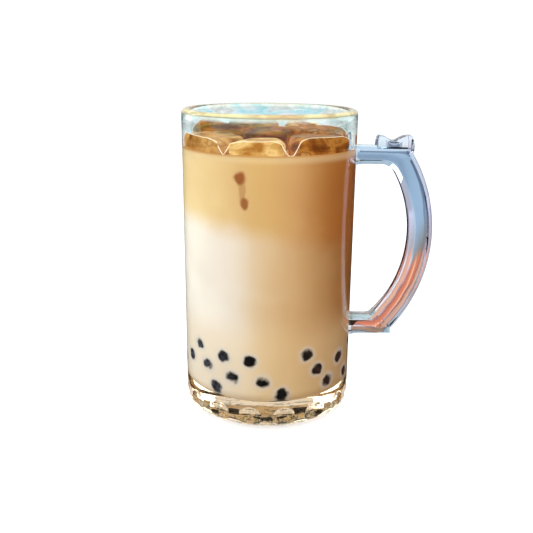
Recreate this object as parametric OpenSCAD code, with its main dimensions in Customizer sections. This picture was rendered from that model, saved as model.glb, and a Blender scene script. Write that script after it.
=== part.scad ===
// Iced milk tea with tapioca pearls in a handled glass mug.
// Millimetres, +Z up. The origin is the middle of the mug's foot, and the handle points along +X.

/* [Glass] */
// Height of the mug from foot to rim
mug_height = 155; // [125:1:190]
// Outside diameter of the straight glass body
mug_diameter = 88; // [72:1:110]
// Thickness of the glass wall
wall = 4.2; // [3:0.1:6]
// Thickness of the solid glass base under the drink
base_thickness = 12.5; // [10:0.5:20]
// Radius of the rounded heel round the foot
heel_radius = 5; // [2:0.5:7]
// Radius of the inside corner between floor and wall
floor_radius = 6; // [3:0.5:10]

/* [Flutes] */
// Number of lens-shaped flutes round the base
flute_count = 16; // [8:1:17]
// Width of one flute, measured round the glass
flute_width = 12; // [8:0.5:12.5]
// Height of one flute
flute_height = 9.6; // [6:0.2:10]
// Depth of one flute
flute_depth = 1.3; // [0.6:0.1:1.8]
// Height of the flutes' centres above the table
flute_level = 6.4; // [5.5:0.1:8]

/* [Handle] */
// How far the handle stands out from the glass body
handle_reach = 41.3; // [36:0.1:55]
// Distance from the rim down to the middle of the upper arm
handle_drop = 22.5; // [18:0.5:32]
// Distance between the middles of the upper and the lower arm
handle_span = 91.2; // [75:0.1:100]
// Outside radius of the curved grip
grip_radius = 77.5; // [65:0.5:95]
// How far the middle of the grip's curve lies above the middle of the span
grip_lift = 4; // [0:0.5:6]
// Thickness of the grip, seen from the side
grip_thickness = 12.4; // [9:0.1:15]
// Width of the handle, across its flat sides
handle_width = 12.5; // [9:0.1:16]
// Thickness of the two arms, seen from the side
arm_thickness = 9; // [7:0.1:12]
// Width of the chamfers along the grip
grip_chamfer = 3; // [1.5:0.1:3.6]
// Width of the chamfers along the arms
arm_chamfer = 2.2; // [1:0.1:2.8]
// Length of the arms beyond the middle line of the grip's ends
arm_overrun = 6; // [3:0.5:8]
// Radius of the inside corner between the upper arm and the grip
corner_radius = 9; // [4:0.5:14]

/* [Thumb rest] */
// Length of the saddle on top of the handle
rest_length = 18.5; // [14:0.5:22]
// Height of the saddle's horns above the upper arm
rest_height = 5.2; // [3:0.1:7]
// Depth of the dip between the horns
rest_dip = 2.6; // [1:0.1:3]
// Radius of the horns' round tips
horn_radius = 1.9; // [1:0.1:2.4]

/* [Drink] */
// Free height between the drink and the rim
free_height = 19; // [12:0.5:30]
// How far each pearl is pressed flat against the glass
pearl_flat = 1; // [0.6:0.1:1.4]
// How far the ring of floor pearls lies inside the glass wall
floor_ring_inset = 15; // [13.5:0.5:17]
// Clearance between the ice and the inside of the glass
ice_gap = 0.3; // [0.1:0.1:1]

/* [Hidden] */
$fn = 64;
mug_radius = mug_diameter / 2;
cavity_radius = mug_radius - wall;
liquid_level = mug_height - free_height;
floor_ring = cavity_radius - floor_ring_inset;

// The grip's curve: its centre, its middle line and the angles where it meets the arms.
upper_arm_z = mug_height - handle_drop;
lower_arm_z = upper_arm_z - handle_span;
grip_x = mug_radius + handle_reach - grip_radius;
grip_z = (upper_arm_z + lower_arm_z) / 2 + grip_lift;
grip_middle = grip_radius - grip_thickness / 2;
grip_top_angle = asin((upper_arm_z - grip_z) / grip_middle);
grip_foot_angle = asin((grip_z - lower_arm_z) / grip_middle);
upper_corner_x = grip_x + grip_middle * cos(grip_top_angle);
lower_corner_x = grip_x + grip_middle * cos(grip_foot_angle);

// Pearls against the glass: angle round the axis, height of the middle above the floor, diameter.
WALL_PEARLS = [
    [203, 16.4, 8.6], [215, 25.6, 7.8], [224, 16.6, 8.4], [232, 6.0, 8.4], [238, 23.3, 8.2],
    [245, 13.0, 9.2], [258, 22.7, 9.8], [267, 12.1, 9.2], [280, 5.6, 9.4], [298, 24.9, 8.6],
    [307, 15.8, 8.8], [317, 8.1, 9.2], [330, 18.0, 9.4], [341, 7.2, 8.4], [352, 21.4, 8.8],
    [5, 10.4, 9.0], [19, 23.5, 8.4], [30, 6.4, 8.8], [43, 16.9, 9.4], [60, 25.2, 8.4],
    [69, 9.8, 9.0], [88, 18.6, 9.2], [101, 6.2, 8.6], [113, 22.4, 8.8], [128, 12.4, 9.2],
    [147, 20.2, 8.6], [158, 7.0, 9.0], [178, 24.6, 8.4], [186, 10.8, 8.8]
];
// Pearls on the floor: angle round the axis, distance from it as a share of the ring, diameter.
FLOOR_PEARLS = [
    [194, 1, 8.8], [224, 1.02, 8.8], [254, 1, 8.6], [284, 1.02, 8.8], [316, 1, 8.8],
    [352, 1.02, 9.2], [30, 0.96, 9.0], [72, 1.02, 9.4], [114, 0.96, 8.8], [154, 1, 9.0],
    [250, 0.36, 9.4], [70, 0.4, 9.0]
];
// Ice: place of the middle [x, y], turn, [width, depth, height], height of the top above the drink,
// [lean forward, lean sideways]. Places and sizes are shares of the cavity's radius.
ICE = [
    [[-0.57, -0.37], -58, [0.58, 0.34, 0.58], 7.4, [-2, 3]],
    [[-0.07, -0.72], -5, [0.48, 0.30, 0.60], 6.8, [2, -2]],
    [[0.51, -0.50], 46, [0.56, 0.33, 0.60], 7.8, [-2, 2]],
    [[-0.61, 0.21], 8, [0.46, 0.40, 0.55], 9.6, [-4, 8]],
    [[-0.02, -0.12], -6, [0.52, 0.46, 0.60], 8.4, [3, -6]],
    [[0.60, 0.08], 74, [0.42, 0.42, 0.58], 8.0, [4, -5]],
    [[-0.19, 0.63], -14, [0.56, 0.40, 0.60], 8.0, [-4, 5]],
    [[0.43, 0.63], -33, [0.44, 0.38, 0.55], 6.6, [5, 4]]
];
// How much longer a lump's half diagonal is than the ball that rounds its corners
ice_melt = 1.14;

PEARL_COLOUR = [0.16, 0.1, 0.08];

// Inside of the glass, from its floor up to a given height, as a half outline.
module cavity_outline(top) {
    translate([0, base_thickness + floor_radius])
        square([cavity_radius, top - base_thickness - floor_radius]);
    translate([0, base_thickness])
        square([cavity_radius - floor_radius, floor_radius]);
    intersection() {
        translate([cavity_radius - floor_radius, base_thickness + floor_radius])
            circle(floor_radius);
        translate([0, base_thickness])
            square([cavity_radius, floor_radius]);
    }
}

module cavity(top) {
    rotate_extrude()
        cavity_outline(top);
}

// Glass body before the flutes: straight sides, round heel, round rim.
module body_outline() {
    difference() {
        union() {
            translate([0, heel_radius])
                square([mug_radius, mug_height - wall / 2 - heel_radius]);
            square([mug_radius - heel_radius, heel_radius]);
            translate([mug_radius - heel_radius, heel_radius])
                circle(heel_radius);
        }
        cavity_outline(mug_height);
    }
    translate([mug_radius - wall / 2, mug_height - wall / 2])
        circle(wall / 2);
}

// A ring-shaped cutter whose outer side hollows one oval flute of the stated width, height and depth.
// Its curve from top to bottom follows from the height, and its curve round the glass from the width.
module flute_cutter() {
    half = flute_height / 2;
    upright_radius = (half * half + flute_depth * flute_depth) / (2 * flute_depth);
    flute_floor = mug_radius - flute_depth;
    half_angle = flute_width / 2 / mug_radius * 180 / PI;
    edge = mug_radius * cos(half_angle);
    level_radius = (mug_radius * mug_radius + flute_floor * flute_floor - 2 * edge * flute_floor)
        / (2 * (edge - flute_floor));
    translate([flute_floor + level_radius, 0, flute_level])
        rotate_extrude()
            intersection() {
                translate([level_radius - upright_radius, 0])
                    circle(upright_radius);
                translate([0, -upright_radius])
                    square([level_radius, 2 * upright_radius]);
            }
}

// An upright rectangle with its four corners cut off.
module chamfered_section(thickness, width, chamfer) {
    a = thickness / 2;
    b = width / 2;
    polygon([
        [a, b - chamfer], [a - chamfer, b], [chamfer - a, b], [-a, b - chamfer],
        [-a, chamfer - b], [chamfer - a, -b], [a - chamfer, -b], [a, chamfer - b]
    ]);
}

// A straight arm from inside the glass wall out to a given place.
module arm(level, end_x) {
    start_x = cavity_radius + wall / 2;
    translate([start_x, 0, level])
        rotate([0, 90, 0])
            linear_extrude(end_x - start_x)
                chamfered_section(arm_thickness, handle_width, arm_chamfer);
}

// The curved grip between the two arms.
module grip() {
    translate([grip_x, 0, grip_z])
        rotate([90, 0, 0])
            rotate_extrude(angle = grip_top_angle + grip_foot_angle, start = -grip_foot_angle)
                translate([grip_middle, 0])
                    chamfered_section(grip_thickness, handle_width, grip_chamfer);
}

// Fills the inside corner between the upper arm and the grip, and leaves it round.
module grip_corner() {
    inside_radius = grip_radius - grip_thickness;
    underside_z = upper_arm_z - arm_thickness / 2;
    round_z = underside_z - corner_radius - grip_z;
    round_x = sqrt(pow(inside_radius - corner_radius, 2) - round_z * round_z);
    reach = inside_radius / (inside_radius - corner_radius);
    overlap = arm_thickness / 4;
    corner_width = handle_width - 2 * grip_chamfer;
    translate([grip_x, corner_width / 2, grip_z])
        rotate([90, 0, 0])
            linear_extrude(corner_width)
                difference() {
                    polygon([
                        [round_x, round_z],
                        [round_x, round_z + corner_radius + overlap],
                        [round_x + corner_radius + overlap, round_z + corner_radius + overlap],
                        [round_x * reach + overlap, round_z * reach]
                    ]);
                    translate([round_x, round_z])
                        circle(corner_radius * 1.01);
                }
}

// The saddle for the thumb, as wide as the flat between the handle's chamfers plus one of them.
module thumb_rest() {
    outer_x = upper_corner_x + arm_overrun + 1;
    inner_x = outer_x - rest_length;
    arm_top = upper_arm_z + arm_thickness / 2;
    horn_z = arm_top + rest_height - horn_radius;
    middle_x = (outer_x + inner_x) / 2;
    half_dip = rest_length / 2 - horn_radius;
    dip_radius = (half_dip * half_dip + rest_dip * rest_dip) / (2 * rest_dip);
    rest_width = handle_width - arm_chamfer;
    translate([0, rest_width / 2, 0])
        rotate([90, 0, 0])
            linear_extrude(rest_width)
                difference() {
                    union() {
                        translate([inner_x, upper_arm_z])
                            square([rest_length, horn_z - upper_arm_z]);
                        translate([inner_x + horn_radius, upper_arm_z])
                            square([rest_length - 2 * horn_radius, arm_top + rest_height - upper_arm_z]);
                        for (x = [inner_x + horn_radius, outer_x - horn_radius])
                            translate([x, horn_z])
                                circle(horn_radius);
                    }
                    translate([middle_x, arm_top + rest_height - rest_dip + dip_radius])
                        circle(dip_radius);
                }
}

module mug() {
    color("lightcyan", 0.35)
        difference() {
            union() {
                rotate_extrude()
                    body_outline();
                arm(upper_arm_z, upper_corner_x + arm_overrun);
                arm(lower_arm_z, lower_corner_x + arm_overrun);
                grip();
                grip_corner();
                thumb_rest();
            }
            for (i = [0:flute_count - 1])
                rotate([0, 0, (i + 0.5) * 360 / flute_count])
                    flute_cutter();
        }
}

// A pearl pressed against the glass wall.
module wall_pearl(p) {
    r = p[2] / 2;
    color(PEARL_COLOUR)
        intersection() {
            rotate([0, 0, p[0]])
                translate([cavity_radius - r + pearl_flat, 0, base_thickness + p[1]])
                    sphere(r);
            cavity(liquid_level);
        }
}

// A pearl lying on the glass floor.
module floor_pearl(p) {
    r = p[2] / 2;
    color(PEARL_COLOUR)
        intersection() {
            rotate([0, 0, p[0]])
                translate([floor_ring * p[1], 0, base_thickness + r - pearl_flat])
                    sphere(r);
            cavity(liquid_level);
        }
}

// A half-melted lump of ice: a block whose corners are worn to a ball.
module ice_lump(p) {
    size = p[2] * cavity_radius;
    ball = norm(size) / 2 / ice_melt;
    color("wheat", 0.6)
        intersection() {
            translate([p[0][0] * cavity_radius, p[0][1] * cavity_radius, liquid_level + p[3] - size[2] / 2])
                rotate([p[4][0], p[4][1], p[1]])
                    intersection() {
                        cube(size, center = true);
                        sphere(ball);
                    }
            cylinder(r = cavity_radius - ice_gap, h = mug_height);
        }
}

module milk_tea() {
    color("burlywood")
        difference() {
            cavity(liquid_level);
            for (p = ICE)
                ice_lump(p);
            for (p = WALL_PEARLS)
                wall_pearl(p);
            for (p = FLOOR_PEARLS)
                floor_pearl(p);
        }
}

mug();
milk_tea();
for (i = [0:len(ICE) - 1])
    ice_lump(ICE[i]);
for (i = [0:len(WALL_PEARLS) - 1])
    wall_pearl(WALL_PEARLS[i]);
for (i = [0:len(FLOOR_PEARLS) - 1])
    floor_pearl(FLOOR_PEARLS[i]);
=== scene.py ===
import math

import bmesh
import bpy
import numpy as np
from mathutils import Matrix, Vector


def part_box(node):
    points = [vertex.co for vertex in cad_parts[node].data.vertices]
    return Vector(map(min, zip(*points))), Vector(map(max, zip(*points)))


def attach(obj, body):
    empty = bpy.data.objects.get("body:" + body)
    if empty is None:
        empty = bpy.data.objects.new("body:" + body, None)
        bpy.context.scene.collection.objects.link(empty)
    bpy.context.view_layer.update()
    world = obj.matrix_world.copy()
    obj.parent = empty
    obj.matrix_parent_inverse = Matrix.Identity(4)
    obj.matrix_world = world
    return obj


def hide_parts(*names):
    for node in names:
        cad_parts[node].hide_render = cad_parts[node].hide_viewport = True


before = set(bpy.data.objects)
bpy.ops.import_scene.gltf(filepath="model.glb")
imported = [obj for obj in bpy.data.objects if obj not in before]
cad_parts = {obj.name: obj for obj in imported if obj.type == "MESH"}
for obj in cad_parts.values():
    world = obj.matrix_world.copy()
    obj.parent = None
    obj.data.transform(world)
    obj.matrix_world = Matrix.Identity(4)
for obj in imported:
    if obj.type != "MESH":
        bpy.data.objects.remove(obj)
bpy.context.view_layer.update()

MM = 0.001

# ---------------------------------------------------------------------------------------------------
# Camera. A long lens about four mug heights away, a little above the rim and looking down on the base.
# ---------------------------------------------------------------------------------------------------
camera = bpy.data.objects.new("camera", bpy.data.cameras.new("camera"))
bpy.context.scene.collection.objects.link(camera)
camera.data.sensor_width = 36
camera.data.lens = 48.2
camera.data.clip_start = 0.01
camera_distance = 364.7 * MM
camera_height = 180.1 * MM
look_down = math.radians(16.46)
turn_left = math.radians(0.143)
roll = math.radians(0.498)
camera.matrix_world = (
    Matrix.Translation((0, -camera_distance, camera_height))
    @ Matrix.Rotation(turn_left, 4, "Z")
    @ Matrix.Rotation(math.pi / 2 - look_down, 4, "X")
    @ Matrix.Rotation(roll, 4, "Z")
)
bpy.context.scene.camera = camera
bpy.context.scene.view_settings.view_transform = "Standard"

# ---------------------------------------------------------------------------------------------------
# Glass body. Thick pressed glass: a straight cylinder with a round rim, a rounded heel and a heavy
# base, whose side is hollowed by a ring of oval lens flutes.
# ---------------------------------------------------------------------------------------------------
mug_low, mug_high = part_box("mug")
drink_low, drink_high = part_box("milk_tea")
mug_radius = -mug_low.x
mug_height = mug_high.z
cavity_radius = drink_high.x
cavity_floor = drink_low.z
liquid_level = drink_high.z
wall = mug_radius - cavity_radius
heel_radius = 5 * MM
floor_radius = 6 * MM
flute_count = 16
flute_width = 12 * MM
flute_height = 9.6 * MM
flute_depth = 1.3 * MM
flute_level = 6.4 * MM
above_flutes = 2.2 * flute_level
sides = 512


def arc(centre, radius, start, end, steps):
    """Points (r, z) of an arc between two angles in degrees."""
    angles = np.radians(np.linspace(start, end, steps + 1))
    return [(centre[0] + radius * math.cos(a), centre[1] + radius * math.sin(a)) for a in angles]


def line(start, end, steps):
    """Points from start up to, but without, end."""
    return [
        (start[0] + (end[0] - start[0]) * i / steps, start[1] + (end[1] - start[1]) * i / steps)
        for i in range(steps)
    ]


def lathe(outline, sides, name, shape=None):
    """A closed mesh turned from an outline that starts and ends on the axis. shape moves its points."""
    ring = np.arange(sides) * 2 * math.pi / sides
    r = np.array([p[0] for p in outline[1:-1]])[:, None]
    z = np.array([p[1] for p in outline[1:-1]])[:, None]
    points = np.stack([r * np.cos(ring), r * np.sin(ring), z + 0 * ring], -1).reshape(-1, 3)
    if shape:
        points = shape(points)
    rows = len(outline) - 2
    row, col = np.meshgrid(np.arange(rows - 1), np.arange(sides), indexing="ij")
    a = row * sides + col
    b = row * sides + (col + 1) % sides
    quads = np.stack([a, b, b + sides, a + sides], -1).reshape(-1, 4)
    first, last = rows * sides, rows * sides + 1
    near = np.arange(sides)
    far = (near + 1) % sides
    fans = [(first, int(j), int(i)) for i, j in zip(near, far)]
    fans += [(last, int(i) + (rows - 1) * sides, int(j) + (rows - 1) * sides) for i, j in zip(near, far)]
    poles = [(0, 0, outline[0][1]), (0, 0, outline[-1][1])]
    mesh = bpy.data.meshes.new(name)
    mesh.from_pydata([*map(tuple, points), *poles], [], [*map(tuple, quads.tolist()), *fans])
    mesh.validate()
    piece = bpy.data.objects.new(name, mesh)
    bpy.context.scene.collection.objects.link(piece)
    return piece


def hollow_flutes(points):
    """Presses the ring of oval flutes into the outside of the base."""
    radius = np.hypot(points[:, 0], points[:, 1])
    angle = np.arctan2(points[:, 1], points[:, 0])
    pitch = 2 * math.pi / flute_count
    across = ((angle / pitch) % 1 - 0.5) * pitch * mug_radius
    outside = (radius > mug_radius - heel_radius) & (points[:, 2] < 3 * flute_level)
    away = (across / (flute_width / 2)) ** 2 + ((points[:, 2] - flute_level) / (flute_height / 2)) ** 2
    press = np.where(outside, flute_depth * np.clip(1 - away, 0, 1), 0)
    scale = 1 - press / np.maximum(radius, wall)
    points[:, 0] *= scale
    points[:, 1] *= scale
    return points


rim = wall / 2
body_outline = [
    (0, 0),
    *line((6 * MM, 0), (mug_radius - heel_radius, 0), 6),
    *arc((mug_radius - heel_radius, heel_radius), heel_radius, -90, 0, 12),
    *line((mug_radius, heel_radius + 0.4 * MM), (mug_radius, above_flutes), 20),
    *line((mug_radius, above_flutes), (mug_radius, mug_height - rim), 12),
    *arc((mug_radius - rim, mug_height - rim), rim, 0, 180, 16),
    *line((cavity_radius, mug_height - rim - 3 * MM), (cavity_radius, cavity_floor + floor_radius), 12),
    *arc((cavity_radius - floor_radius, cavity_floor + floor_radius), floor_radius, 0, -90, 10),
    *line((cavity_radius - floor_radius - 2 * MM, cavity_floor), (4 * MM, cavity_floor), 5),
    (0, cavity_floor),
]
mug = lathe(body_outline, sides, "glass_mug", hollow_flutes)

# ---------------------------------------------------------------------------------------------------
# Handle. One bar of pressed glass with chamfered edges: an arm under the rim, a saddle for the thumb,
# a grip bowed like a C, a pointed foot and an arm back to the wall. It is fused to the body.
# ---------------------------------------------------------------------------------------------------
handle_width = 12.5 * MM
grip_radius = 77.5 * MM
grip_thickness = 12.4 * MM
arm_thickness = 9 * MM
upper_arm = mug_height - 22.5 * MM
lower_arm = upper_arm - 91.2 * MM
grip_centre = (mug_high.x - grip_radius, (upper_arm + lower_arm) / 2 + 4 * MM)
inside_radius = grip_radius - grip_thickness
arm_half = arm_thickness / 2
corner_radius = 9 * MM
outer_top = 35
outer_foot = -41.5
inner_foot = -43.5
closest_stations = 0.2 * MM


def on_grip(radius, degrees):
    a = math.radians(degrees)
    return (grip_centre[0] + radius * math.cos(a), grip_centre[1] + radius * math.sin(a))


def rail(points, count):
    """count points evenly spaced along a broken line."""
    p = np.array(points)
    along = np.concatenate([[0], np.cumsum(np.hypot(*np.diff(p, axis=0).T))])
    at = np.linspace(0, along[-1], count)
    return np.stack([np.interp(at, along, p[:, 0]), np.interp(at, along, p[:, 1])], -1)


def loft(name, inner, outer, width, chamfer):
    """A bar between two rails in the plane of the handle, with an eight-sided section of rounded edges."""
    rings = []
    for (xi, zi), (xo, zo), w, c in zip(inner, outer, width, chamfer):
        t = math.hypot(xo - xi, zo - zi)
        soft = c * 0.25
        quarter = [
            (t / 2, w / 2 - c - soft), (t / 2 - soft * 0.35, w / 2 - c + soft * 0.6),
            (t / 2 - c + soft * 0.6, w / 2 - soft * 0.35), (t / 2 - c - soft, w / 2),
        ]
        section = quarter + [(-u, v) for u, v in reversed(quarter)]
        section += [(-u, -v) for u, v in quarter] + [(u, -v) for u, v in reversed(quarter)]
        ux, uz = (xo - xi) / t, (zo - zi) / t
        mx, mz = (xo + xi) / 2, (zo + zi) / 2
        rings.append([(mx + ux * u, v, mz + uz * u) for u, v in section])
    n = len(rings[0])
    points = [p for ring in rings for p in ring]
    faces = []
    for k in range(len(rings) - 1):
        for i in range(n):
            j = (i + 1) % n
            faces.append((k * n + i, k * n + j, k * n + n + j, k * n + n + i))
    faces.append(tuple(range(n)))
    faces.append(tuple(len(points) - n + i for i in reversed(range(n))))
    mesh = bpy.data.meshes.new(name)
    mesh.from_pydata(points, [], faces)
    piece = bpy.data.objects.new(name, mesh)
    bpy.context.scene.collection.objects.link(piece)
    whole = bmesh.new()
    whole.from_mesh(mesh)
    bmesh.ops.recalc_face_normals(whole, faces=whole.faces)
    whole.to_mesh(mesh)
    whole.free()
    return piece


root_x = cavity_radius + wall * 0.55
under_arm = upper_arm - arm_half
corner_z = under_arm - corner_radius
corner_x = grip_centre[0] + math.sqrt(
    (inside_radius - corner_radius) ** 2 - (corner_z - grip_centre[1]) ** 2
)
corner_end = math.degrees(math.atan2(corner_z - grip_centre[1], corner_x - grip_centre[0]))
saddle_end = mug_high.x - 12.6 * MM
saddle_start = saddle_end - 18.5 * MM
top_arm = upper_arm + arm_half
before_saddle = (saddle_start + 1 * MM, top_arm)
foot_tip = (66.5 * MM, lower_arm - arm_half)
foot_corner = on_grip(inside_radius, inner_foot)
under_foot = (foot_tip[0] - 5 * MM, foot_tip[1])
over_foot = (foot_corner[0] - 2 * MM, lower_arm + arm_half)

inner_parts = [
    rail([(root_x, under_arm), (corner_x, under_arm)], 14),
    rail(arc((corner_x, corner_z), corner_radius, 90, corner_end, 16), 26),
    rail([on_grip(inside_radius, a) for a in np.linspace(corner_end, inner_foot, 60)], 70),
    rail([foot_corner, over_foot], 14),
    rail([over_foot, (root_x, lower_arm + arm_half)], 14),
]
outer_parts = [
    rail([(root_x, top_arm), before_saddle], 14),
    rail([before_saddle, (saddle_end - 1 * MM, top_arm), on_grip(grip_radius, outer_top)], 26),
    rail([on_grip(grip_radius, a) for a in np.linspace(outer_top, outer_foot, 60)], 70),
    rail([on_grip(grip_radius, outer_foot), foot_tip, under_foot], 14),
    rail([under_foot, (root_x, foot_tip[1])], 14),
]
inner_rail = np.concatenate(inner_parts)
outer_rail = np.concatenate(outer_parts)
inner_step = np.hypot(*np.diff(inner_rail, axis=0).T)
outer_step = np.hypot(*np.diff(outer_rail, axis=0).T)
keep = np.concatenate([[0], 1 + np.flatnonzero(inner_step + outer_step > closest_stations)])
inner_rail, outer_rail = inner_rail[keep], outer_rail[keep]
stations = len(keep)
middle_x = (inner_rail[:, 0] + outer_rail[:, 0]) / 2
# The bar spreads a little where it meets the wall.
flare = 0.5 * MM * np.clip(1 - (middle_x - mug_radius) / (4 * MM), 0, 1) ** 2
upward = np.where(outer_rail[:, 1] > inner_rail[:, 1], 1, -1)
inner_rail[:, 1] -= upward * flare
outer_rail[:, 1] += upward * flare
chamfers = np.interp(middle_x, [saddle_start, saddle_end], [2.4 * MM, 3 * MM])
# The foot and the arm under it have finer edges than the grip.
from_the_end = np.arange(stations)[::-1]
chamfers = np.minimum(chamfers, np.interp(from_the_end, [25, 40], [1.3 * MM, 3 * MM]))
handle = loft("handle", inner_rail, outer_rail, handle_width + 2 * flare, chamfers)

# The saddle: two horns with a dip between them, narrower than the bar that it stands on.
saddle_top = top_arm + 5.2 * MM
steps = 60
s = np.linspace(0, 1, steps)
saddle_x = saddle_start + (saddle_end - saddle_start) * s
dip = 2.6 * MM * np.exp(-(((s - 0.45) / 0.2) ** 2))
ends = np.clip(1 - np.abs(2 * s - 1), 0, 0.16) / 0.16
saddle_z = saddle_top - dip - 3.2 * MM * (1 - np.sqrt(1 - (1 - ends) ** 2))
saddle_bottom = np.full(steps, upper_arm + 1 * MM)
saddle_widths = np.full(steps, handle_width * 0.8)
saddle = loft(
    "saddle",
    np.stack([saddle_x, saddle_bottom], -1),
    np.stack([saddle_x, saddle_z], -1),
    saddle_widths,
    np.full(steps, 1.6 * MM),
)


def fuse(whole, part, crossing=False):
    """Joins part to whole as one solid, and deletes part. crossing also mends a bar that crosses itself."""
    union = whole.modifiers.new("fuse", "BOOLEAN")
    union.operation = "UNION"
    union.solver = "EXACT"
    union.object = part
    union.use_self = crossing
    shaped = whole.evaluated_get(bpy.context.evaluated_depsgraph_get())
    mesh = bpy.data.meshes.new_from_object(shaped)
    whole.modifiers.clear()
    whole.data = mesh
    bpy.data.objects.remove(part)


fuse(handle, saddle, crossing=True)
fuse(mug, handle)
mug.data.shade_smooth()
mug.data.set_sharp_from_angle(angle=math.radians(28))


def add_node(tree, kind, settings=None, **inputs):
    """Adds a node, sets its properties, and sets or links its inputs, by name or as i0, i1 and so on."""
    made = tree.nodes.new(kind)
    for key, value in (settings or {}).items():
        setattr(made, key, value)
    for key, value in inputs.items():
        numbered = key[0] == "i" and key[1:].isdigit()
        socket = made.inputs[int(key[1:]) if numbered else key.replace("_", " ")]
        if isinstance(value, bpy.types.NodeSocket):
            tree.links.new(value, socket)
        else:
            socket.default_value = value
    return made


def new_material(name):
    material = bpy.data.materials.new(name)
    material.use_nodes = True
    material.node_tree.nodes.clear()
    return material, material.node_tree


def glass_material(name, colour, waviness=0.15, bright=None):
    """Clear pressed glass, a little wavy. Lamps shine through it, so that the drink inside is lit.
    bright gives the share and the colour of painted highlights and painted shade, laid over the glass as a
    diffuse layer."""
    material, tree = new_material(name)
    place = add_node(tree, "ShaderNodeTexCoord").outputs["Object"]
    waves = add_node(tree, "ShaderNodeTexNoise", Vector=place, Scale=60.0, Detail=2.0)
    bump = add_node(tree, "ShaderNodeBump", Height=waves.outputs["Fac"], Strength=waviness, Distance=0.001)
    if callable(colour):
        colour = colour(tree, place)
    glass = add_node(
        tree, "ShaderNodeBsdfGlass", Color=colour, Roughness=0.0, IOR=1.5, Normal=bump.outputs[0]
    )
    clear = add_node(tree, "ShaderNodeBsdfTransparent", Color=(0.97, 0.985, 0.985, 1))
    ray = add_node(tree, "ShaderNodeLightPath")
    body = glass.outputs[0]
    if bright:
        share, tint = bright(tree, place)
        painted_layer = add_node(tree, "ShaderNodeBsdfPrincipled", Base_Color=tint, Roughness=0.3)
        body = add_node(tree, "ShaderNodeMixShader", Fac=share, i1=body, i2=painted_layer.outputs[0]).outputs[0]
    mix = add_node(
        tree, "ShaderNodeMixShader", Fac=ray.outputs["Is Shadow Ray"], i1=body, i2=clear.outputs[0]
    )
    add_node(tree, "ShaderNodeOutputMaterial", Surface=mix.outputs[0])
    return material


def colour_ramp(tree, fac, stops, interpolation="LINEAR"):
    """A ramp between colours, each given as a place from 0 to 1 and an sRGB colour of 0 to 255."""
    ramp = add_node(tree, "ShaderNodeValToRGB", Fac=fac)
    ramp.color_ramp.interpolation = interpolation
    elements = ramp.color_ramp.elements
    while len(elements) < len(stops):
        elements.new(0.5)
    for element, (position, colour) in zip(elements, stops):
        element.position = position
        element.color = linear(colour)
    return ramp.outputs["Color"]


def linear(colour, power=1.0):
    """An sRGB colour of 0 to 255 as the linear one that a shader takes."""
    return (*[(((c / 255 + 0.055) / 1.055) ** 2.4 if c > 10 else c / 3295) ** power for c in colour], 1)


def glass_ramp(tree, fac, stops):
    """A colour ramp for glass that is looked through, whose tint acts at both of its faces."""
    seen = colour_ramp(tree, fac, stops)
    return add_node(tree, "ShaderNodeGamma", Color=seen, Gamma=0.5).outputs[0]


def map_range(tree, value, low, high, to_low=0.0, to_high=1.0, smooth=True):
    """A value mapped from one range to another and held at its ends."""
    kind = {"interpolation_type": "SMOOTHSTEP" if smooth else "LINEAR"}
    ends = {"From_Min": low, "From_Max": high, "To_Min": to_low, "To_Max": to_high}
    return add_node(tree, "ShaderNodeMapRange", kind, Value=value, **ends).outputs["Result"]


def blend(tree, share, under, over):
    """The colour under, covered with the colour over by a share of 0 to 1."""
    return add_node(tree, "ShaderNodeMix", {"data_type": "RGBA"}, i0=share, i6=under, i7=over).outputs[2]


def maths(tree, operation, *values):
    inputs = {f"i{k}": value for k, value in enumerate(values)}
    return add_node(tree, "ShaderNodeMath", {"operation": operation}, **inputs).outputs[0]


def bar_places(tree, place):
    """Where a point lies on the handle: from its inner to its outer edge, and from its top to its end."""
    across = add_node(tree, "ShaderNodeAttribute", {"attribute_name": "bar_across"}).outputs["Fac"]
    along = add_node(tree, "ShaderNodeAttribute", {"attribute_name": "bar_along"}).outputs["Fac"]
    wander = add_node(tree, "ShaderNodeTexNoise", Vector=place, Scale=70.0, Detail=2.0).outputs["Fac"]
    across = maths(tree, "ADD", across, maths(tree, "MULTIPLY_ADD", wander, 0.10, -0.05))
    return across, along, wander


def painted_background_colour(tree, place):
    """Painted reflection: the surroundings seen through the flat faces of the handle, blue in the upper
    part, turning to streaks of salmon and white in the lower part, with painted dark lines near its edges.
    """
    across, along, wander = bar_places(tree, place)
    blue = glass_ramp(tree, across, [
        (0.24, (178, 194, 210)), (0.30, (134, 160, 188)), (0.66, (138, 164, 188)), (0.71, (60, 76, 100)),
        (0.76, (104, 116, 138)),
    ])
    salmon = glass_ramp(tree, across, [
        (0.24, (140, 112, 122)), (0.31, (176, 108, 100)), (0.41, (196, 126, 110)), (0.455, (246, 234, 230)),
        (0.50, (150, 96, 86)), (0.55, (196, 114, 80)), (0.66, (206, 122, 86)), (0.71, (96, 78, 88)),
        (0.76, (168, 176, 196)),
    ])
    turned = maths(tree, "MULTIPLY_ADD", across, 0.14, maths(tree, "MULTIPLY_ADD", wander, 0.03, along))
    # Painted shade: a grey-brown darkening of the blue where it turns to salmon.
    painted_grey_shade = maths(tree, "MULTIPLY", map_range(tree, turned, 0.54, 0.66), map_range(tree, across, 0.30, 0.56))
    blue = blend(tree, maths(tree, "MULTIPLY", painted_grey_shade, 0.8), blue, linear((112, 108, 104), 0.5))
    return blend(tree, map_range(tree, turned, 0.64, 0.69), blue, salmon)


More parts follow.
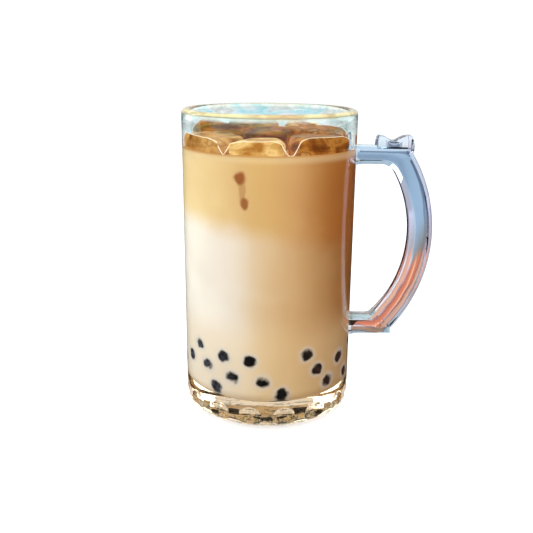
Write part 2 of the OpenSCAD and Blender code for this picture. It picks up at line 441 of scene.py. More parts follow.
def painted_clear_colour(tree, place):
    """Clear, with painted reflections and painted shade in its colour for what the glass shows of its
    surroundings: pale water-blue patches above the drink, a pale yellow painted highlight on the rim, tan
    and dark patches in the base, and lilac and blue edges along the handle."""
    axes = add_node(tree, "ShaderNodeSeparateXYZ", Vector=place).outputs
    patches = add_node(tree, "ShaderNodeMapping", Vector=place, Scale=(46.0, 46.0, 150.0)).outputs[0]
    patches = add_node(tree, "ShaderNodeTexNoise", Vector=patches, Scale=1.0, Detail=3.0).outputs["Fac"]
    # Painted reflection: pale blue patches in the glass above the drink.
    painted_watery_reflection = glass_ramp(tree, patches, [
        (0.36, (246, 250, 250)), (0.44, (190, 204, 204)), (0.50, (226, 242, 244)), (0.57, (150, 218, 230)),
        (0.66, (232, 236, 244)),
    ])
    plain = linear((251, 254, 254))
    top = map_range(tree, axes["Z"], liquid_level + 7 * MM, liquid_level + 12 * MM, 0.0, 0.9)
    colour = blend(tree, top, plain, painted_watery_reflection)
    # Painted highlight: a pale yellow band round the top of the rim, strongest at the front.
    painted_straw_highlight = map_range(tree, axes["Z"], mug_height - 3.2 * MM, mug_height - 1.6 * MM, 0.0, 0.6)
    painted_straw_highlight = maths(tree, "MULTIPLY", painted_straw_highlight, map_range(tree, axes["Y"], 12 * MM, -24 * MM, 0.2, 1.0))
    colour = blend(tree, painted_straw_highlight, colour, linear((255, 240, 196)))
    # Painted shade and painted reflection in the base: pale, tan and dark olive blotches.
    leaning = add_node(
        tree, "ShaderNodeMapping", Vector=place, Rotation=(0.0, 0.6, 0.0), Scale=(170.0, 170.0, 70.0)
    ).outputs[0]
    blotches = add_node(tree, "ShaderNodeTexNoise", Vector=leaning, Scale=1.0, Detail=2.0).outputs["Fac"]
    pressed = glass_ramp(tree, blotches, [
        (0.34, (255, 250, 238)), (0.41, (246, 214, 150)), (0.46, (250, 246, 236)), (0.52, (96, 96, 66)),
        (0.565, (246, 240, 222)), (0.62, (248, 206, 186)), (0.68, (226, 240, 242)),
    ])
    low = map_range(tree, axes["Z"], cavity_floor - MM, cavity_floor - 4 * MM, 0.0, 0.9)
    colour = blend(tree, low, colour, pressed)
    # Painted: the drink seen through the base, as a tan band at the height of its floor.
    away = maths(tree, "ABSOLUTE", maths(tree, "SUBTRACT", axes["Z"], cavity_floor - MM))
    painted_tan_band = map_range(tree, away, 6 * MM, 2 * MM, 0.0, 0.7)
    colour = blend(tree, painted_tan_band, colour, linear((236, 206, 172), 0.5))
    across, along, _ = bar_places(tree, place)
    # Painted reflection: lilac and blue along the handle, from its surroundings seen through the glass.
    edge = glass_ramp(tree, along, [
        (0.20, (190, 210, 222)), (0.34, (216, 194, 208)), (0.48, (206, 178, 200)), (0.62, (196, 198, 216)),
        (0.85, (200, 228, 236)),
    ])
    colour = blend(tree, map_range(tree, across, -0.5, -0.4, 0.0, 0.85), colour, edge)
    # Painted reflection: grey-blue on the saddle and the top of the arm.
    painted_saddle_reflection = linear((196, 208, 220), 0.5)
    return blend(tree, map_range(tree, across, 1.0, 1.12, 0.0, 0.9), colour, painted_saddle_reflection)


def painted_rim_light(tree, place):
    """The share and the colour of painted light laid over the glass: a pale yellow painted highlight, a
    painted dark line and a pale blue painted reflection on the front of the rim, a painted dark shade on the
    crest at the back of it, and a painted pale blue highlight along the edge under the foot of the handle."""
    axes = add_node(tree, "ShaderNodeSeparateXYZ", Vector=place).outputs
    noise = add_node(tree, "ShaderNodeTexNoise", Vector=place, Scale=90.0, Detail=2.0).outputs["Fac"]
    height = map_range(tree, axes["Z"], mug_height - 4.4 * MM, mug_height, smooth=False)
    height = maths(tree, "MULTIPLY_ADD", noise, 0.12, maths(tree, "SUBTRACT", height, 0.06))
    # Painted light across the rim, from below to the top: pale blue, a dark line, then a pale yellow
    # highlight.
    tint = colour_ramp(tree, height, [
        (0.10, (206, 226, 226)), (0.50, (196, 214, 208)), (0.58, (120, 120, 100)), (0.66, (196, 196, 160)),
        (0.76, (250, 232, 166)), (0.90, (255, 240, 184)), (0.98, (214, 216, 200)),
    ])
    band = map_range(tree, axes["Z"], mug_height - 4.4 * MM, mug_height - 2.4 * MM, 0.0, 0.62)
    front = map_range(tree, axes["Y"], 10 * MM, -24 * MM, 0.12, 1.0)
    thin = map_range(tree, noise, 0.34, 0.6, 1.0, 0.55)
    share = maths(tree, "MULTIPLY", maths(tree, "MULTIPLY", band, front), thin)
    # Painted shade: a dark olive line on the crest at the back of the rim.
    crest = map_range(tree, axes["Z"], mug_height - 0.9 * MM, mug_height - 0.3 * MM)
    behind = map_range(tree, axes["Y"], 14 * MM, 32 * MM, 0.0, 0.6)
    painted_back_shade = maths(tree, "MULTIPLY", maths(tree, "MULTIPLY", crest, behind), thin)
    tint = blend(tree, behind, tint, linear((96, 98, 84)))
    # Painted highlight: a pale blue line along the edge under the foot of the handle.
    painted_foot_highlight = map_range(tree, axes["Z"], foot_tip[1] + 1.7 * MM, foot_tip[1] + 1.2 * MM, 0.0, 0.8)
    beside = map_range(tree, axes["X"], mug_radius + MM, mug_radius + 2 * MM)
    painted_foot_highlight = maths(tree, "MULTIPLY", painted_foot_highlight, beside)
    share = maths(tree, "ADD", maths(tree, "ADD", share, painted_back_shade), painted_foot_highlight)
    return share, blend(tree, painted_foot_highlight, tint, linear((196, 222, 230)))


spots = np.array([v.co for v in mug.data.vertices])
middle_rail = (inner_rail + outer_rail) / 2
bar_across = np.full(len(spots), -1.0)
bar_along = np.full(len(spots), -1.0)
off_the_wall = (spots[:, 0] > 0) & (np.hypot(spots[:, 0], spots[:, 1]) > mug_radius + 0.1 * MM)
for k in np.flatnonzero(off_the_wall):
    spot = spots[k, [0, 2]]
    nearest = int(np.argmin(np.hypot(*(middle_rail - spot).T)))
    span = outer_rail[nearest] - inner_rail[nearest]
    bar_across[k] = (spot - inner_rail[nearest]) @ span / (span @ span)
    bar_along[k] = nearest / (stations - 1)
for name, values in (("bar_across", bar_across), ("bar_along", bar_along)):
    layer = mug.data.attributes.new(name, "FLOAT", "POINT")
    layer.data.foreach_set("value", values.astype(np.float32))

mug.data.materials.clear()
mug.data.materials.append(glass_material("clear_glass", painted_clear_colour, bright=painted_rim_light))
mug.data.materials.append(glass_material("handle_painted_background_glass", painted_background_colour, 0.05))
for face in mug.data.polygons:
    c = face.center
    flat = abs(face.normal.y) > 0.96 and c.x > mug_radius + 0.5 * MM
    below_saddle = c.z < top_arm + 0.2 * MM
    face.material_index = 1 if flat and below_saddle else 0
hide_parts("mug")
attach(mug, "root")

# ---------------------------------------------------------------------------------------------------
# Tapioca pearls. Soft black-brown balls of cooked starch, pressed a little flat where they touch the
# glass wall or the floor. Only that side shows through the milky drink.
# ---------------------------------------------------------------------------------------------------
wet = 0.2 * MM
drink_radius = cavity_radius + wet
pearl_flat = 1 * MM
veiled = 0.95
dull = 0.08
wall_pearls = sorted(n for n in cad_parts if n.startswith("wall_pearl_"))
floor_pearls = sorted(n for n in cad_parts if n.startswith("floor_pearl_"))
centres = []
radii = []
for name in wall_pearls:
    low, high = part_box(name)
    r = (high.z - low.z) / 2
    middle = (low + high) / 2
    out = Vector((middle.x, middle.y, 0)).normalized() * (cavity_radius - r + pearl_flat)
    centres.append((out.x, out.y, middle.z))
    radii.append(r * veiled)
for name in floor_pearls:
    low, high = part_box(name)
    r = (high.x - low.x) / 2
    centres.append(((low.x + high.x) / 2, (low.y + high.y) / 2, cavity_floor + r - pearl_flat))
    radii.append(r * veiled)

seeds = bpy.data.meshes.new("pearl_places")
seeds.from_pydata(centres, [], [])
size = seeds.attributes.new("pearl_radius", "FLOAT", "POINT")
size.data.foreach_set("value", radii)
pearls = bpy.data.objects.new("tapioca_pearls", seeds)
bpy.context.scene.collection.objects.link(pearls)

pearl_skin, tree = new_material("tapioca_pearl")
place = add_node(tree, "ShaderNodeTexCoord").outputs["Object"]
mottle = add_node(tree, "ShaderNodeTexNoise", Vector=place, Scale=420.0, Detail=3.0).outputs["Fac"]
to_right = add_node(tree, "ShaderNodeSeparateXYZ", Vector=place).outputs["X"]
milky = colour_ramp(tree, mottle, [(0.35, (22, 20, 26)), (0.7, (74, 74, 84))])
black = colour_ramp(tree, mottle, [(0.35, (4, 3, 3)), (0.7, (24, 18, 17))])
brown = colour_ramp(tree, mottle, [(0.35, (18, 8, 6)), (0.7, (62, 34, 20))])
skin_colour = blend(tree, map_range(tree, to_right, -0.030, -0.012), milky, black)
skin_colour = blend(tree, map_range(tree, to_right, 0.008, 0.030), skin_colour, brown)
skin = add_node(
    tree, "ShaderNodeBsdfPrincipled", Base_Color=skin_colour, Roughness=0.35, Specular_IOR_Level=dull
)
add_node(tree, "ShaderNodeOutputMaterial", Surface=skin.outputs[0])


def pearl_nodes(limit_radius, limit_floor, skin):
    """Geometry Nodes: a lumpy ball at each place, pressed against the wall and the floor."""
    group = bpy.data.node_groups.new("pearls_at_the_glass", "GeometryNodeTree")
    face = group.interface
    face.new_socket("Geometry", in_out="INPUT", socket_type="NodeSocketGeometry")
    face.new_socket("Lumpiness", in_out="INPUT", socket_type="NodeSocketFloat")
    face.new_socket("Geometry", in_out="OUTPUT", socket_type="NodeSocketGeometry")
    start = add_node(group, "NodeGroupInput")
    radius = add_node(group, "GeometryNodeInputNamedAttribute", {"data_type": "FLOAT"}, Name="pearl_radius")
    ball = add_node(group, "GeometryNodeMeshIcoSphere", Radius=1.0, Subdivisions=5)
    placed = add_node(
        group, "GeometryNodeInstanceOnPoints",
        Points=start.outputs["Geometry"], Instance=ball.outputs["Mesh"], Scale=radius.outputs["Attribute"],
    )
    real = add_node(group, "GeometryNodeRealizeInstances", Geometry=placed.outputs["Instances"])
    position = add_node(group, "GeometryNodeInputPosition").outputs[0]
    noise = add_node(group, "ShaderNodeTexNoise", Vector=position, Scale=260.0, Detail=1.0).outputs["Fac"]
    lift = maths(group, "MULTIPLY_ADD", noise, 2.0, -1.0)
    amount = maths(group, "MULTIPLY", lift, start.outputs["Lumpiness"])
    normal = add_node(group, "GeometryNodeInputNormal").outputs[0]
    scaled = {"operation": "SCALE"}
    offset = add_node(group, "ShaderNodeVectorMath", scaled, i0=normal, Scale=amount).outputs[0]
    lumpy = add_node(group, "GeometryNodeSetPosition", Geometry=real.outputs[0], Offset=offset).outputs[0]
    position = add_node(group, "GeometryNodeInputPosition").outputs[0]
    parts = add_node(group, "ShaderNodeSeparateXYZ", Vector=position).outputs
    level = add_node(group, "ShaderNodeCombineXYZ", X=parts["X"], Y=parts["Y"]).outputs[0]
    away = add_node(group, "ShaderNodeVectorMath", {"operation": "LENGTH"}, i0=level).outputs["Value"]
    share = maths(group, "MINIMUM", maths(group, "DIVIDE", limit_radius, away), 1.0)
    pressed = add_node(group, "ShaderNodeVectorMath", scaled, i0=level, Scale=share).outputs[0]
    flat = add_node(group, "ShaderNodeSeparateXYZ", Vector=pressed).outputs
    above = maths(group, "MAXIMUM", parts["Z"], limit_floor)
    final = add_node(group, "ShaderNodeCombineXYZ", X=flat["X"], Y=flat["Y"], Z=above).outputs[0]
    shaped = add_node(group, "GeometryNodeSetPosition", Geometry=lumpy, Position=final).outputs[0]
    smooth = add_node(group, "GeometryNodeSetShadeSmooth", Geometry=shaped).outputs[0]
    skinned = add_node(group, "GeometryNodeSetMaterial", Geometry=smooth, Material=skin).outputs[0]
    add_node(group, "NodeGroupOutput", Geometry=skinned)
    return group


def grow(piece, group, **inputs):
    """Runs a node tree on a piece and keeps the result as its plain mesh."""
    modifier = piece.modifiers.new("grow", "NODES")
    modifier.node_group = group
    for item in group.interface.items_tree:
        if item.in_out == "INPUT" and item.name in inputs:
            modifier[item.identifier] = inputs[item.name]
    shaped = piece.evaluated_get(bpy.context.evaluated_depsgraph_get())
    mesh = bpy.data.meshes.new_from_object(shaped)
    piece.modifiers.clear()
    piece.data = mesh


press = 0.12 * MM
lumpiness = 1.1 * MM
grow(pearls, pearl_nodes(drink_radius + press, cavity_floor - wet - press, pearl_skin), Lumpiness=lumpiness)
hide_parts(*wall_pearls, *floor_pearls)
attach(pearls, "root")

# ---------------------------------------------------------------------------------------------------
# Milk tea. It fills the glass, creeps up the wall at its edge, and wets the glass with no gap. Milk has
# sunk on one side and the tea stays strong on the other; its colour also carries painted shade that darkens
# it towards the right. Near a pearl the drink is thin and looks pale.
# ---------------------------------------------------------------------------------------------------
creep = 0.4 * MM
sunk = 0.05 * MM
top_z = liquid_level
corner = floor_radius + wet
fine_top = 48 * MM
drink_outline = [
    (0, cavity_floor - wet),
    *line((2 * MM, cavity_floor - wet), (cavity_radius - floor_radius, cavity_floor - wet), 54),
    *arc((cavity_radius - floor_radius, cavity_floor + floor_radius), corner, -90, 0, 16),
    *line((drink_radius, cavity_floor + corner + 0.6 * MM), (drink_radius, fine_top), 60),
    *line((drink_radius, fine_top), (drink_radius, top_z + creep), 24),
    (drink_radius, top_z + creep),
    *[
        (drink_radius - d * MM, top_z + creep * math.exp(-d / 1.1) - sunk)
        for d in (0.3, 0.7, 1.2, 1.9, 2.8, 4.0, 6.0, 10.0, 16.0, 24.0, 32.0)
    ],
    (0, top_z - sunk),
]
milk_tea = lathe(drink_outline, 432, "milk_tea_drink")
milk_tea.data.shade_smooth()

spots = np.array([v.co for v in milk_tea.data.vertices])
gap = np.full(len(spots), 1.0)
for centre, radius in zip(centres, radii):
    gap = np.minimum(gap, np.linalg.norm(spots - np.array(centre), axis=1) - radius)
nearness = milk_tea.data.attributes.new("pearl_gap_mm", "FLOAT", "POINT")
nearness.data.foreach_set("value", np.clip(gap / MM, -2, 8).astype(np.float32))

material, tree = new_material("milk_tea")
place = add_node(tree, "ShaderNodeTexCoord").outputs["Object"]
axes = add_node(tree, "ShaderNodeSeparateXYZ", Vector=place).outputs
swirl = add_node(
    tree, "ShaderNodeTexNoise", Vector=place, Scale=24.0, Detail=3.0, Distortion=0.6
).outputs["Fac"]
wander = maths(tree, "MULTIPLY_ADD", swirl, 18 * MM, axes["X"])
across = map_range(tree, wander, -31 * MM, 47 * MM, smooth=False)
# The ramps run from milky on the left to strong tea on the right; part of that darkening, and the deepest
# brown at the right edge, is painted shade.
tea_side = colour_ramp(tree, across, [
    (0.0, (242, 218, 168)), (0.17, (218, 188, 136)), (0.33, (198, 162, 112)), (0.45, (200, 162, 101)),
    (0.66, (196, 151, 100)), (0.83, (172, 110, 50)), (0.97, (150, 86, 34)),
], "B_SPLINE")
milk_side = colour_ramp(tree, across, [
    (0.0, (252, 244, 232)), (0.17, (225, 212, 200)), (0.32, (215, 202, 188)), (0.45, (206, 178, 140)),
    (0.66, (196, 155, 108)), (0.83, (181, 135, 86)), (0.97, (142, 86, 36)),
], "B_SPLINE")
slope = maths(tree, "MULTIPLY_ADD", axes["X"], 0.16, axes["Z"])
rise = maths(tree, "MULTIPLY_ADD", swirl, 14 * MM, slope)
colour = blend(tree, map_range(tree, rise, 98 * MM, 111 * MM), milk_side, tea_side)
settled = map_range(tree, axes["Z"], 62 * MM, 40 * MM, 0.0, 0.35)
colour = blend(tree, settled, colour, linear((226, 196, 150)))
cream = map_range(tree, axes["Z"], top_z - 4.5 * MM, top_z - 1.5 * MM, 0.0, 0.45)
colour = blend(tree, cream, colour, linear((208, 180, 138)))
# Painted shade: a dark brown line along the corner where the drink meets the floor of the glass.
painted_corner_shade = map_range(tree, axes["Z"], cavity_floor + 1.5 * MM, cavity_floor + 0.6 * MM, 0.0, 0.75)
colour = blend(tree, painted_corner_shade, colour, linear((140, 84, 40)))

# Between the lumps of ice the surface is strong tea. The underside is painted paler, as painted light where
# little light reaches the bottom of the drink.
normal = add_node(tree, "ShaderNodeNewGeometry").outputs["Normal"]
upward = add_node(tree, "ShaderNodeSeparateXYZ", Vector=normal).outputs["Z"]
colour = blend(tree, map_range(tree, upward, 0.6, 0.95), colour, linear((190, 128, 64)))
colour = blend(tree, map_range(tree, upward, -0.6, -0.95), colour, linear((226, 202, 166)))

# Two dark drops of tea syrup sink along the wall, with a faint tail between them, and one at the right.
drops = [
    (251, 9.8, 2.5, 2.9, 0.95), (254, 21.8, 1.9, 2.7, 0.9), (252.5, 15.8, 1.5, 5.0, 0.4),
    (345, 11.5, 2.4, 4.2, 0.7),
]
ragged = add_node(tree, "ShaderNodeTexNoise", Vector=place, Scale=320.0, Detail=2.0).outputs["Fac"]
for degrees, depth, half_width, half_height, strength in drops:
    a = math.radians(degrees)
    middle = (drink_radius * math.cos(a), drink_radius * math.sin(a), top_z - depth * MM)
    away = add_node(tree, "ShaderNodeVectorMath", {"operation": "SUBTRACT"}, i0=place, i1=middle).outputs[0]
    reach = (1 / (half_width * MM), 1 / (half_width * MM), 1 / (half_height * MM))
    away = add_node(tree, "ShaderNodeVectorMath", {"operation": "MULTIPLY"}, i0=away, i1=reach).outputs[0]
    far = add_node(tree, "ShaderNodeVectorMath", {"operation": "LENGTH"}, i0=away).outputs["Value"]
    far = maths(tree, "ADD", far, ragged)
    colour = blend(tree, map_range(tree, far, 1.9, 1.1, 0.0, strength), colour, linear((136, 74, 32)))

gap = add_node(tree, "ShaderNodeAttribute", {"attribute_name": "pearl_gap_mm"}).outputs["Fac"]
lumps = add_node(tree, "ShaderNodeTexNoise", Vector=place, Scale=260.0, Detail=1.0).outputs["Fac"]
gap = maths(tree, "MULTIPLY_ADD", maths(tree, "MULTIPLY_ADD", lumps, 2.0, -1.0), -lumpiness / MM, gap)
under = map_range(tree, axes["Z"], cavity_floor + 1.5 * MM, cavity_floor + 0.5 * MM, 0.0, 2.0)
gap = maths(tree, "SUBTRACT", gap, under)
halo = map_range(tree, gap, 2.8, 0.5, 0.0, 0.34)
colour = blend(tree, halo, colour, linear((190, 194, 200)))
soft_edge = map_range(tree, gap, 1.0, -0.05, 0.0, 0.96)
colour = blend(tree, soft_edge, colour, linear((34, 29, 31)))
surface = add_node(
    tree, "ShaderNodeBsdfPrincipled", Base_Color=colour, Roughness=0.35, Specular_IOR_Level=dull
)
add_node(tree, "ShaderNodeOutputMaterial", Surface=surface.outputs[0])
milk_tea.data.materials.append(material)
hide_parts("milk_tea")
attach(milk_tea, "root")

# ---------------------------------------------------------------------------------------------------
# Ice. Half-melted lumps of ice, stained by the tea, that crowd the top of the drink. The lumps of the
# outer ring lie flat against the glass, so that their outer faces take the curve of the wall.
# ---------------------------------------------------------------------------------------------------
material, tree = new_material("tea_ice")
place = add_node(tree, "ShaderNodeTexCoord").outputs["Object"]
cloud = add_node(
    tree, "ShaderNodeTexNoise", Vector=place, Scale=70.0, Detail=4.0, Distortion=1.2
).outputs["Fac"]
stretch = add_node(
    tree, "ShaderNodeMapping", Vector=place, Rotation=(0.3, 0.5, 0.2), Scale=(28.0, 28.0, 210.0)
).outputs[0]
layers = add_node(
    tree, "ShaderNodeTexNoise", Vector=stretch, Scale=1.0, Detail=2.0, Distortion=0.6
).outputs["Fac"]
shade = maths(tree, "MULTIPLY_ADD", layers, 0.5, maths(tree, "MULTIPLY", cloud, 0.55))
golden = colour_ramp(tree, shade, [
    (0.40, (168, 112, 50)), (0.48, (204, 158, 88)), (0.54, (232, 198, 132)), (0.60, (206, 160, 92)),
    (0.68, (246, 226, 176)),
])
brown = colour_ramp(tree, shade, [
    (0.40, (96, 46, 12)), (0.48, (142, 78, 24)), (0.54, (188, 120, 46)), (0.60, (132, 70, 20)),
    (0.68, (220, 166, 88)),
])
stain = add_node(tree, "ShaderNodeAttribute", {"attribute_name": "stain"}).outputs["Fac"]
amber = blend(tree, stain, golden, brown)
wavy = add_node(tree, "ShaderNodeBump", Height=shade, Strength=0.5, Distance=0.002)
ice = add_node(
    tree, "ShaderNodeBsdfPrincipled", Base_Color=amber, Roughness=0.3, IOR=1.1, Transmission_Weight=0.15,
    Specular_IOR_Level=0.1, Normal=wavy.outputs[0],
)
clear = add_node(tree, "ShaderNodeBsdfTransparent", Color=(0.95, 0.85, 0.7, 1))
ray = add_node(tree, "ShaderNodeLightPath")
mix = add_node(
    tree, "ShaderNodeMixShader", Fac=ray.outputs["Is Shadow Ray"], i1=ice.outputs[0], i2=clear.outputs[0]
)
add_node(tree, "ShaderNodeOutputMaterial", Surface=mix.outputs[0])


def press_to_wall(points, wall_radius, half_angle, swing):
    """Moves a lump's outer face out to the wall, and spreads and swings it along the wall's curve."""
    radius = np.hypot(points[:, 0], points[:, 1])
    middle = points[:, :2].mean(0)
    if math.hypot(*middle) < 0.4 * wall_radius:
        return points
    towards = math.atan2(middle[1], middle[0])
    turn = (np.arctan2(points[:, 1], points[:, 0]) - towards + math.pi) % (2 * math.pi) - math.pi
    start = 0.8 * math.hypot(*middle)
    far_side = radius > start
    widest = np.quantile(np.abs(turn[far_side]), 0.995)
    bins = np.clip(((turn / widest + 1) * 10).astype(int), 0, 19)
    face = np.array([max(radius[bins == b].max(initial=0), start + 2 * MM) for b in range(20)])
    face = np.convolve(np.pad(face, 1, "edge"), [0.25, 0.5, 0.25], "valid")
    face_here = np.interp((turn / widest + 1) * 10 - 0.5, np.arange(20), face)
    share = np.clip(1.22 * (radius - start) / (face_here - start), 0, 1)
    target = np.where(radius > start, start + (wall_radius - start) * share, radius)
    turn = towards + turn * (1 + (half_angle / widest - 1) * share) + swing * share
    return np.stack([target * np.cos(turn), target * np.sin(turn), points[:, 2]], -1)


# How strongly the tea has stained each lump, from golden to brown
stains = {
    "ice_1": 0.55, "ice_2": 0.05, "ice_3": 0.95, "ice_4": 0.9,
    "ice_5": 1.0, "ice_6": 1.0, "ice_7": 0.8, "ice_8": 1.0,
}
# How far a lump reaches along the wall to each side, and how far its face is swung round, in degrees
wall_reach = {"ice_2": (22, -2.5), "ice_3": (29, -5)}
wall_contact = cavity_radius + 0.1 * MM
steps_round = 360
edge_height = np.full(steps_round, top_z + creep)
ice_names = sorted(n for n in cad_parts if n.startswith("ice_"))
for name in ice_names:
    lump = bpy.data.objects.new("lump_" + name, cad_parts[name].data.copy())
    bpy.context.scene.collection.objects.link(lump)
    shell = bmesh.new()
    shell.from_mesh(lump.data)
    bmesh.ops.remove_doubles(shell, verts=shell.verts, dist=0.01 * MM)
    shell.to_mesh(lump.data)
    shell.free()
    melt = lump.modifiers.new("melt", "REMESH")
    melt.mode = "VOXEL"
    melt.voxel_size = 0.6 * MM
    soften = lump.modifiers.new("soften", "SMOOTH")
    soften.factor = 0.5
    soften.iterations = 12
    shaped = lump.evaluated_get(bpy.context.evaluated_depsgraph_get())
    lump.data = bpy.data.meshes.new_from_object(shaped)
    lump.modifiers.clear()
    half_angle, swing = np.radians(wall_reach.get(name, (26, 0)))
    points = press_to_wall(np.array([v.co for v in lump.data.vertices]), wall_contact, half_angle, swing)
    lump.data.vertices.foreach_set("co", points.ravel())
    at_wall = points[np.hypot(points[:, 0], points[:, 1]) > wall_contact - 0.15 * MM]
    steps_at = (np.degrees(np.arctan2(at_wall[:, 1], at_wall[:, 0])) % 360).astype(int)
    np.maximum.at(edge_height, steps_at, at_wall[:, 2])
    layer = lump.data.attributes.new("stain", "FLOAT", "POINT")
    layer.data.foreach_set("value", np.full(len(points), stains.get(name, 0.5), np.float32))
    lump.data.shade_smooth()
    lump.data.materials.clear()
    lump.data.materials.append(material)
    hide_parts(name)
    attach(lump, "root")

# ---------------------------------------------------------------------------------------------------
# Cream line. A fine bead of milk foam that clings to the glass along the upper edge of the ice and the
# drink, all the way round.
# ---------------------------------------------------------------------------------------------------
highest = np.max([np.roll(edge_height, k) for k in (-1, 0, 1)], axis=0)
level = np.mean([np.roll(highest, k) for k in (-2, -1, 0, 1, 2)], axis=0)
around = np.radians(np.arange(steps_round) + 0.5)
thread_radius = cavity_radius - 0.15 * MM
path = np.stack([thread_radius * np.cos(around), thread_radius * np.sin(around), level], -1)
thread = bpy.data.meshes.new("cream_line")
thread.from_pydata([tuple(p) for p in path], [(i, (i + 1) % steps_round) for i in range(steps_round)], [])
cream_line = bpy.data.objects.new("cream_line", thread)
bpy.context.scene.collection.objects.link(cream_line)
material, tree = new_material("milk_foam")
place = add_node(tree, "ShaderNodeTexCoord").outputs["Object"]
froth = add_node(tree, "ShaderNodeTexNoise", Vector=place, Scale=700.0, Detail=2.0).outputs["Fac"]
foam = colour_ramp(tree, froth, [(0.3, (232, 202, 156)), (0.6, (250, 232, 198))])
surface = add_node(tree, "ShaderNodeBsdfPrincipled", Base_Color=foam, Roughness=0.4)
add_node(tree, "ShaderNodeOutputMaterial", Surface=surface.outputs[0])


def bead_nodes(skin):
    """Geometry Nodes: a bead of uneven thickness along a thread."""
    group = bpy.data.node_groups.new("bead_along_a_thread", "GeometryNodeTree")
    face = group.interface
    face.new_socket("Geometry", in_out="INPUT", socket_type="NodeSocketGeometry")
    face.new_socket("Thickness", in_out="INPUT", socket_type="NodeSocketFloat")
    face.new_socket("Geometry", in_out="OUTPUT", socket_type="NodeSocketGeometry")
    start = add_node(group, "NodeGroupInput")
    curve = add_node(group, "GeometryNodeMeshToCurve", Mesh=start.outputs["Geometry"]).outputs[0]
    position = add_node(group, "GeometryNodeInputPosition").outputs[0]
    noise = add_node(group, "ShaderNodeTexNoise", Vector=position, Scale=180.0, Detail=1.0).outputs["Fac"]
    share = maths(group, "MULTIPLY_ADD", noise, 1.2, 0.4)
    half = maths(group, "MULTIPLY", start.outputs["Thickness"], 0.5)
    radius = maths(group, "MULTIPLY", share, half)
    ring = add_node(group, "GeometryNodeCurvePrimitiveCircle", Resolution=8, Radius=1.0).outputs["Curve"]
    tube = add_node(
        group, "GeometryNodeCurveToMesh", Curve=curve, Profile_Curve=ring, Scale=radius
    ).outputs["Mesh"]
    real = add_node(group, "GeometryNodeRealizeInstances", Geometry=tube).outputs[0]
    smooth = add_node(group, "GeometryNodeSetShadeSmooth", Geometry=real).outputs[0]
    skinned = add_node(group, "GeometryNodeSetMaterial", Geometry=smooth, Material=skin).outputs[0]
    add_node(group, "NodeGroupOutput", Geometry=skinned)
    return group


grow(cream_line, bead_nodes(material), Thickness=0.45 * MM)
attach(cream_line, "root")

# ---------------------------------------------------------------------------------------------------
# Table and light. A plain white surface in a bright studio, with four soft lamps round the mug, one over
# the ice and one under the base, and dark cards that only the glass shows.
# ---------------------------------------------------------------------------------------------------
table = bpy.data.objects.new("table", bpy.data.meshes.new("table"))
far = 12.0
air_gap = 0.4 * MM
table.data.from_pydata(
    [(-far, -far, -air_gap), (far, -far, -air_gap), (far, far, -air_gap), (-far, far, -air_gap)],
    [], [(0, 1, 2, 3)],
)
bpy.context.scene.collection.objects.link(table)
material, tree = new_material("white_table")
plain = add_node(
    tree, "ShaderNodeBsdfPrincipled", Base_Color=(0.6, 0.6, 0.6, 1), Roughness=1.0, Specular_IOR_Level=0.0,
    Emission_Color=(1, 1, 1, 1), Emission_Strength=0.4,
)
add_node(tree, "ShaderNodeOutputMaterial", Surface=plain.outputs[0])
table.data.materials.append(material)

world = bpy.data.worlds.new("studio")
bpy.context.scene.world = world
world.use_nodes = True
world.node_tree.nodes["Background"].inputs["Color"].default_value = (1, 1, 1, 1)
world.node_tree.nodes["Background"].inputs["Strength"].default_value = 1.05


def soft_lamp(name, place, target, size, power, colour=(1, 1, 1)):
    lamp = bpy.data.objects.new(name, bpy.data.lights.new(name, "AREA"))
    lamp.data.size = size
    lamp.data.energy = power
    lamp.data.color = colour
    lamp.location = place
    lamp.rotation_mode = "QUATERNION"
    lamp.rotation_quaternion = (Vector(target) - Vector(place)).to_track_quat("-Z", "Y")
    lamp.visible_glossy = False
    bpy.context.scene.collection.objects.link(lamp)


soft_lamp("key", (-0.65, -0.55, 0.35), (0, 0, 0.08), 0.5, 3.4)
soft_lamp("fill", (0.50, -0.70, 0.35), (0, 0, 0.08), 0.5, 2.4)
soft_lamp("back_left", (-0.55, 0.65, 0.40), (0, 0, 0.08), 0.5, 2.6)
soft_lamp("back_right", (0.60, 0.60, 0.40), (0, 0, 0.08), 0.5, 2.2)
soft_lamp("over_the_ice", (0.0, 0.1, 0.75), (0, 0, 0.14), 0.3, 1.5)
soft_lamp("under_the_base", (0.0, 0.0, -0.30), (0, 0, 0.0), 0.3, 0.35)
table.visible_shadow = False


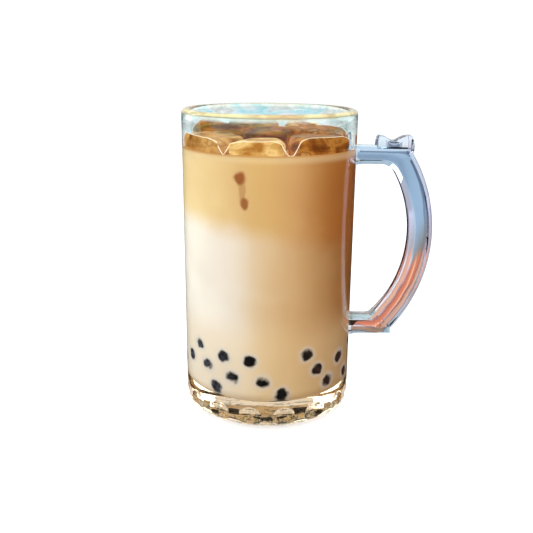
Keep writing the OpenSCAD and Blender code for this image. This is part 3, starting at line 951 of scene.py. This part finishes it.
def studio_screen(name, start, end, radius, low, high, colour, seen_through=True):
    """A curved screen round the mug that only glass shows: in reflections, and through its edges."""
    angles = np.radians(np.linspace(start, end, 25))
    points = [(radius * math.cos(a), radius * math.sin(a), z) for a in angles for z in (low, high)]
    faces = [(2 * i, 2 * i + 2, 2 * i + 3, 2 * i + 1) for i in range(24)]
    screen = bpy.data.objects.new(name, bpy.data.meshes.new(name))
    screen.data.from_pydata(points, [], faces)
    bpy.context.scene.collection.objects.link(screen)
    paint, tree = new_material(name)
    plain = add_node(tree, "ShaderNodeEmission", Color=(*colour, 1), Strength=1.0)
    add_node(tree, "ShaderNodeOutputMaterial", Surface=plain.outputs[0])
    screen.data.materials.append(paint)
    screen.visible_camera = False
    screen.visible_diffuse = False
    screen.visible_shadow = False
    screen.visible_transmission = seen_through


studio_screen("dark_edge_right", -12, 14, 0.45, 0.12, 0.7, (0.02, 0.03, 0.03))
studio_screen("dark_band_behind", 20, 160, 0.9, 0.75, 1.05, (0.04, 0.05, 0.04))
studio_screen("dark_edge_left", 166, 192, 0.45, 0.0, 0.7, (0.02, 0.03, 0.03))


def studio_cloth(name, inner, outer, height, colour, reflected, seen_through, gap=0.0):
    """A ring of cloth on the table round the mug, that only glass shows. gap degrees are left open at +X."""
    ring = np.radians(np.linspace(gap / 2, 360 - gap / 2, 65))
    points = [(r * math.cos(a), r * math.sin(a), height) for a in ring for r in (inner, outer)]
    faces = [(2 * i, 2 * i + 2, 2 * i + 3, 2 * i + 1) for i in range(64)]
    cloth = bpy.data.objects.new(name, bpy.data.meshes.new(name))
    cloth.data.from_pydata(points, [], faces)
    bpy.context.scene.collection.objects.link(cloth)
    paint, tree = new_material(name)
    plain = add_node(tree, "ShaderNodeEmission", Color=(*colour, 1), Strength=1.0)
    add_node(tree, "ShaderNodeOutputMaterial", Surface=plain.outputs[0])
    cloth.data.materials.append(paint)
    cloth.visible_camera = False
    cloth.visible_diffuse = False
    cloth.visible_shadow = False
    cloth.visible_glossy = reflected
    cloth.visible_transmission = seen_through


# A black cloth keeps the white table from veiling the drink's colour in the glass's reflections, and a
# narrow dark ring on the table draws the edge of the clear base.
studio_cloth("black_cloth", 52 * MM, 3.0, 0.5 * MM, (0.02, 0.02, 0.02), True, False)
studio_cloth("dark_field", 75 * MM, 118 * MM, 0.3 * MM, (0.10, 0.12, 0.11), False, True, 110.0)
studio_cloth("dark_ring", 44 * MM, 62 * MM, 0.2 * MM, (0.42, 0.38, 0.27), False, True)
